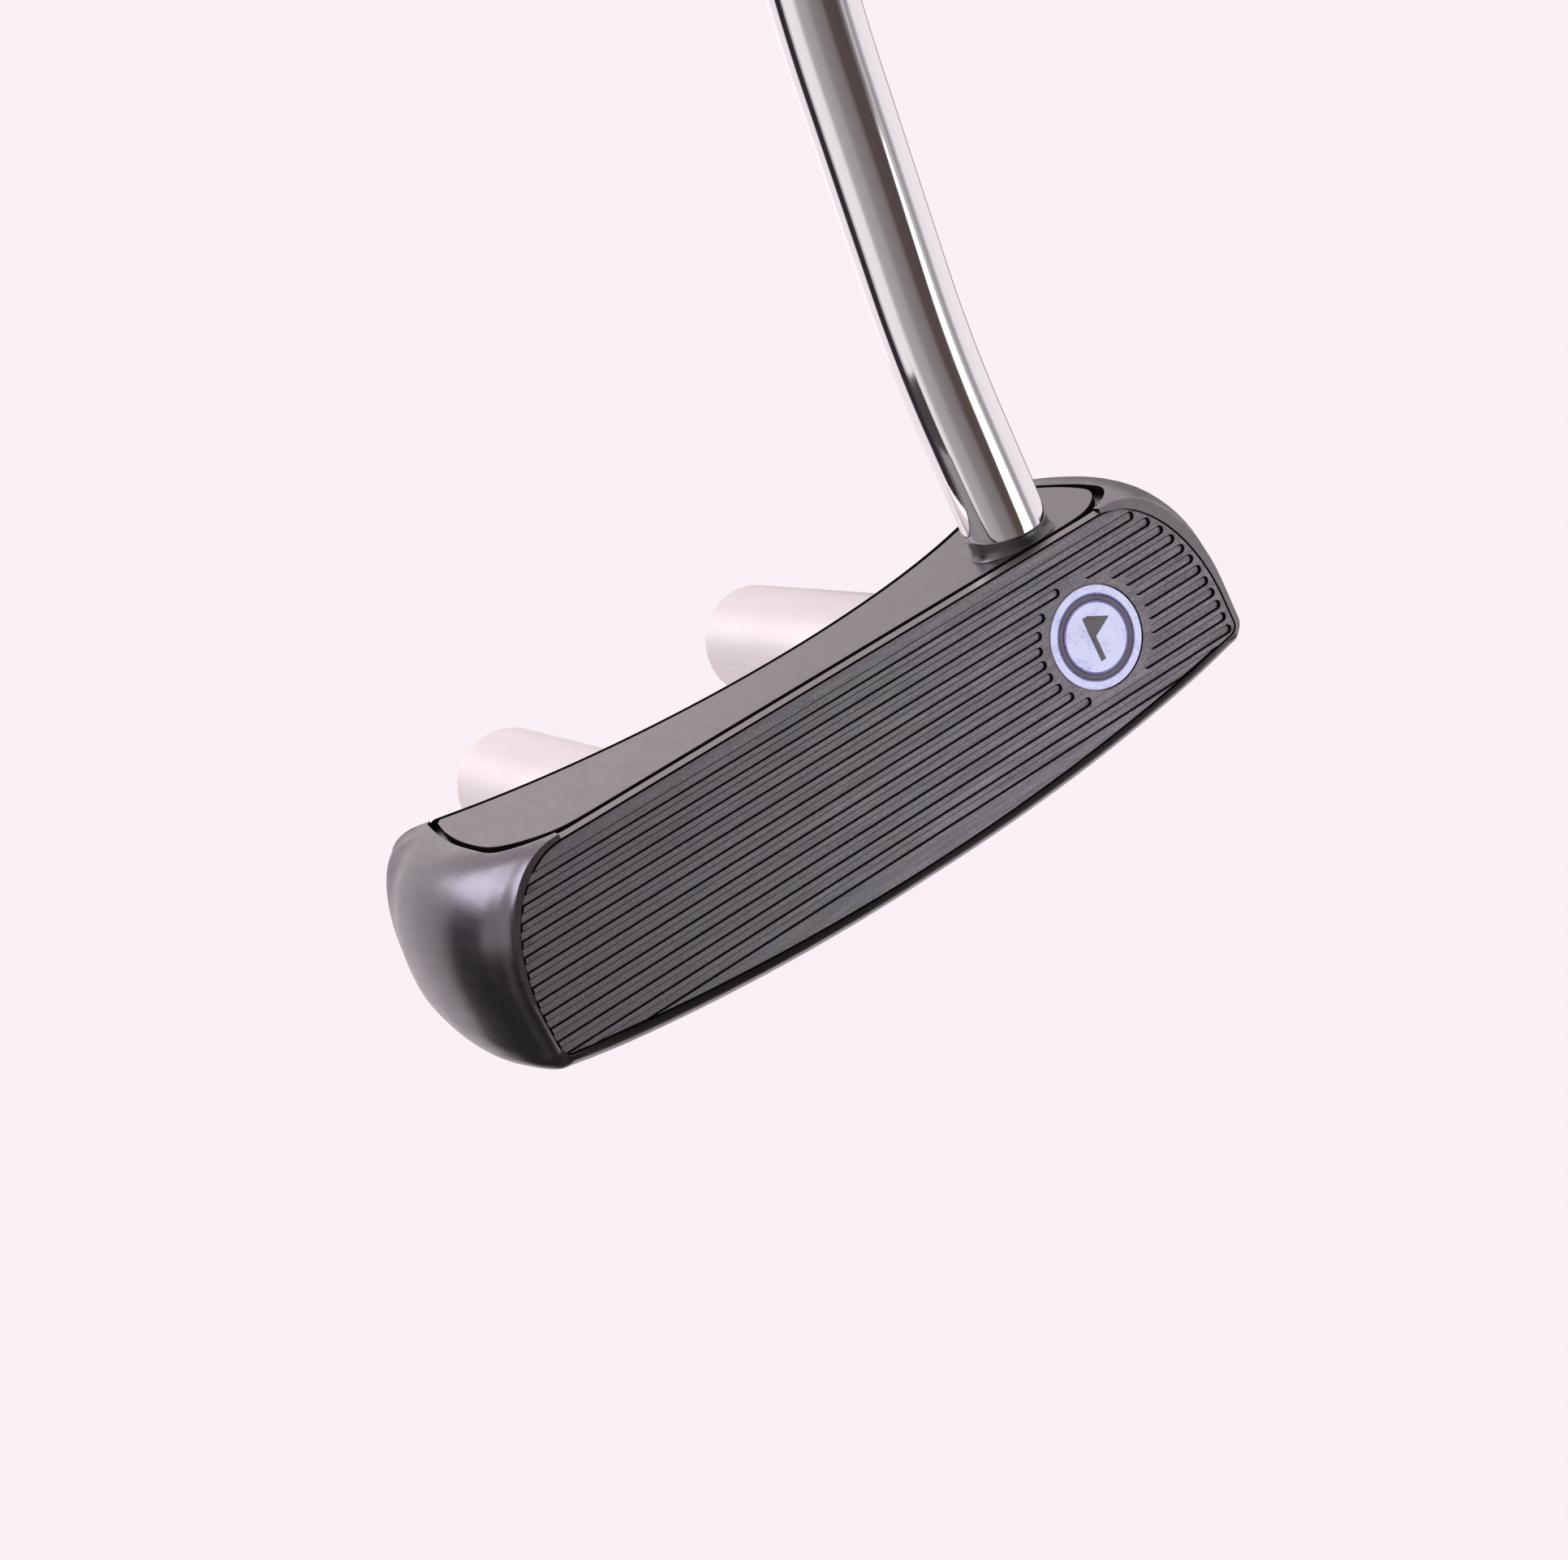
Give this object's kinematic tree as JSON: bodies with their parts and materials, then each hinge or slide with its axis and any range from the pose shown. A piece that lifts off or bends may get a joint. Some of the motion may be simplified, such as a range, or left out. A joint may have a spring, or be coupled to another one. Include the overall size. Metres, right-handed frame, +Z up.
{
  "type": "putter",
  "caption": "Right-handed mid-size mallet putter: black crescent head with a grooved face, round bars behind it, a bent chrome shaft and a rubber grip.",
  "frame": {"origin": "centre of the flat at the middle of the sole, with the club standing at address", "axes": "+X towards the heel, -Y towards the target, +Z up; the sole flat faces -Z"},
  "size_m": [0.3424, 0.0799, 0.8204],
  "materials": {
    "black_anodised": "satin black anodised",
    "grey_anodised": "satin dark grey anodised",
    "face_metal": "milled and anodised dark grey",
    "black_steel": "satin black oxide",
    "satin_steel": "fine satin stainless steel",
    "weight_steel": "turned stainless steel",
    "screw_steel": "black oxide",
    "enamel": "pale blue enamel fill with fine speckle",
    "chrome_plate": "polished chrome plate on steel tube",
    "seal_rubber": "matte black",
    "grip_rubber": "matte black with a fine pressed pattern",
    "cap_plastic": "matte black",
    "adhesive": "cured adhesive film",
    "tape": "double-sided paper tape"
  },
  "bodies": {
    "root": {"head_body": "black_anodised", "crown_plate": "grey_anodised", "crown_bond": "adhesive", "hosel_post": "black_steel", "hosel_screw": "screw_steel", "face_insert": "face_metal", "insert_bond": "adhesive", "badge_enamel": "enamel", "toe_bar": "satin_steel", "heel_bar": "satin_steel", "toe_bar_screw": "screw_steel", "heel_bar_screw": "screw_steel", "shaft": "chrome_plate", "shaft_bond": "adhesive", "grip_tape": "tape", "grip": "grip_rubber", "grip_cap": "cap_plastic"},
    "toe_seal": {"toe_weight_ring": "seal_rubber"},
    "toe_plug": {"toe_weight": "weight_steel"},
    "heel_seal": {"heel_weight_ring": "seal_rubber"},
    "heel_plug": {"heel_weight": "weight_steel"}
  },
  "joints": [
    {"name": "toe_weight_draw", "type": "slide", "parent": "root", "child": "toe_seal", "axis": [0, 1, 0], "range_m": [0, 0.018]},
    {"name": "toe_weight_turn", "type": "hinge", "parent": "toe_seal", "child": "toe_plug", "pos_m": [-0.01925, 0.0629, 0.01446], "axis": [0, 1, 0], "range_deg": [0, 4321]},
    {"name": "heel_weight_draw", "type": "slide", "parent": "root", "child": "heel_seal", "axis": [0, 1, 0], "range_m": [0, 0.018]},
    {"name": "heel_weight_turn", "type": "hinge", "parent": "heel_seal", "child": "heel_plug", "pos_m": [0.01925, 0.0629, 0.01446], "axis": [0, 1, 0], "range_deg": [0, 4321]}
  ],
  "couplings": [
    {"joint": "toe_weight_turn", "follows": "toe_weight_draw", "rad_per_m": 4188.8},
    {"joint": "heel_weight_turn", "follows": "heel_weight_draw", "rad_per_m": 4188.8}
  ]
}
